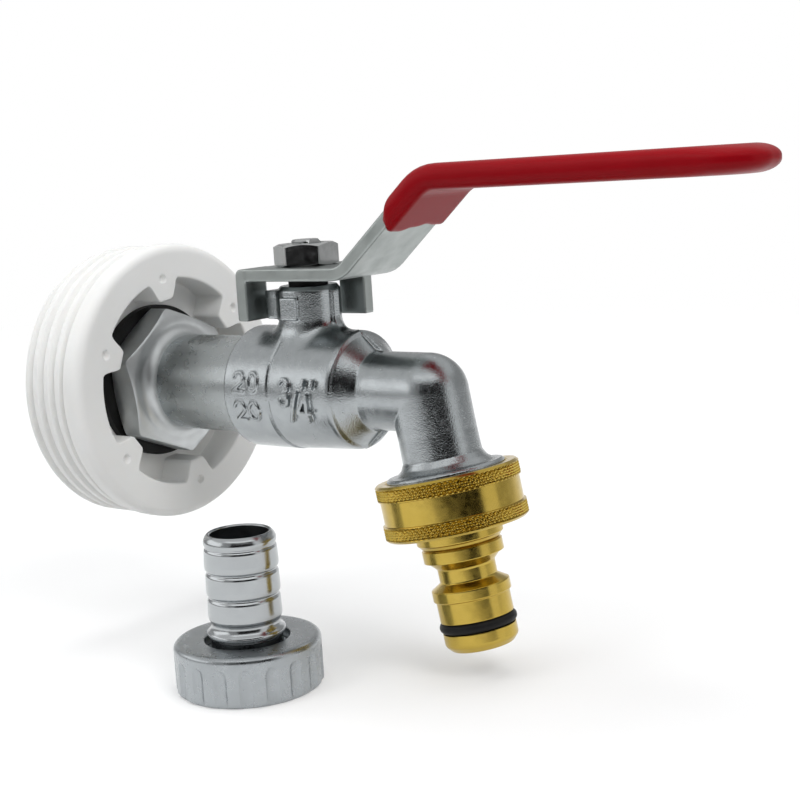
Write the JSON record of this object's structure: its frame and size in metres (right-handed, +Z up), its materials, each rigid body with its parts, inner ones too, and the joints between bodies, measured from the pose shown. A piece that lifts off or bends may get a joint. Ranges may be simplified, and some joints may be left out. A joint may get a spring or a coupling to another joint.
{
  "type": "drum tap adapter",
  "caption": "White plastic drum bung with a screwed-in lever ball tap, a knurled brass hose connector on its spout, and a loose hose tail with union nut standing beside it.",
  "frame": {"origin": "on the tap's axis, where the bung's thread meets the back of its rim", "axes": "+X along the tap, out of the drum; +Z up the lever's stem; the hose tail stands at -Y"},
  "size_m": [0.1751, 0.0789, 0.1109],
  "materials": {
    "white_plastic": "moulded polyethylene, satin",
    "black_rubber": "smooth, dull",
    "nickel_plate": "satin nickel plate over cast and turned brass",
    "chrome_plate": "bright chrome plate over turned brass",
    "seat_plastic": "white PTFE",
    "zinc_steel": "zinc plate over pressed steel",
    "plain_steel": "turned, lightly plated",
    "red_vinyl": "glossy dipped vinyl",
    "yellow_brass": "turned and knurled, bare"
  },
  "bodies": {
    "tap": {"drum_adapter": "white_plastic", "inlet_washer": "black_rubber", "inlet_nipple": "nickel_plate", "body_joint_ring": "black_rubber", "valve_body": "nickel_plate", "seat_ring_rear": "seat_plastic", "seat_ring_front": "seat_plastic", "stem_thrust_washer": "seat_plastic", "gland_ring": "black_rubber"},
    "handle": {"lever": "zinc_steel", "lever_grip": "red_vinyl", "lever_nut": "plain_steel", "stem": "plain_steel", "stem_o_ring": "black_rubber", "valve_ball": "chrome_plate"},
    "packing": {"connector_washer": "black_rubber"},
    "connector": {"quick_connector": "yellow_brass", "connector_o_ring": "black_rubber"},
    "tail": {"hose_tail": "chrome_plate", "tail_washer": "black_rubber"},
    "tail_nut": {"union_nut": "nickel_plate"}
  },
  "joints": [
    {"name": "lever_turn", "type": "hinge", "parent": "tap", "child": "handle", "pos_m": [0.048, 0, 0], "axis": [0, 0, 1], "range_deg": [0, 90]},
    {"name": "connector_travel", "type": "slide", "parent": "tap", "child": "packing", "axis": [0.1908, 0, -0.9816], "range_m": [0, 0.00454]},
    {"name": "connector_turn", "type": "hinge", "parent": "packing", "child": "connector", "pos_m": [0.08, 0, 0], "axis": [0.1908, 0, -0.9816], "range_deg": [0, 900]},
    {"name": "tail_lift", "type": "slide", "parent": "tap", "child": "tail", "axis": [0, -0.7071, 0.7071], "range_m": [0, 0.06]},
    {"name": "nut_turn", "type": "hinge", "parent": "tail", "child": "tail_nut", "pos_m": [0.048, -0.029, -0.0618], "axis": [0, 0, 1], "continuous": true}
  ],
  "couplings": [
    {"joint": "connector_travel", "follows": "connector_turn", "m_per_rad": 0.00028871}
  ]
}
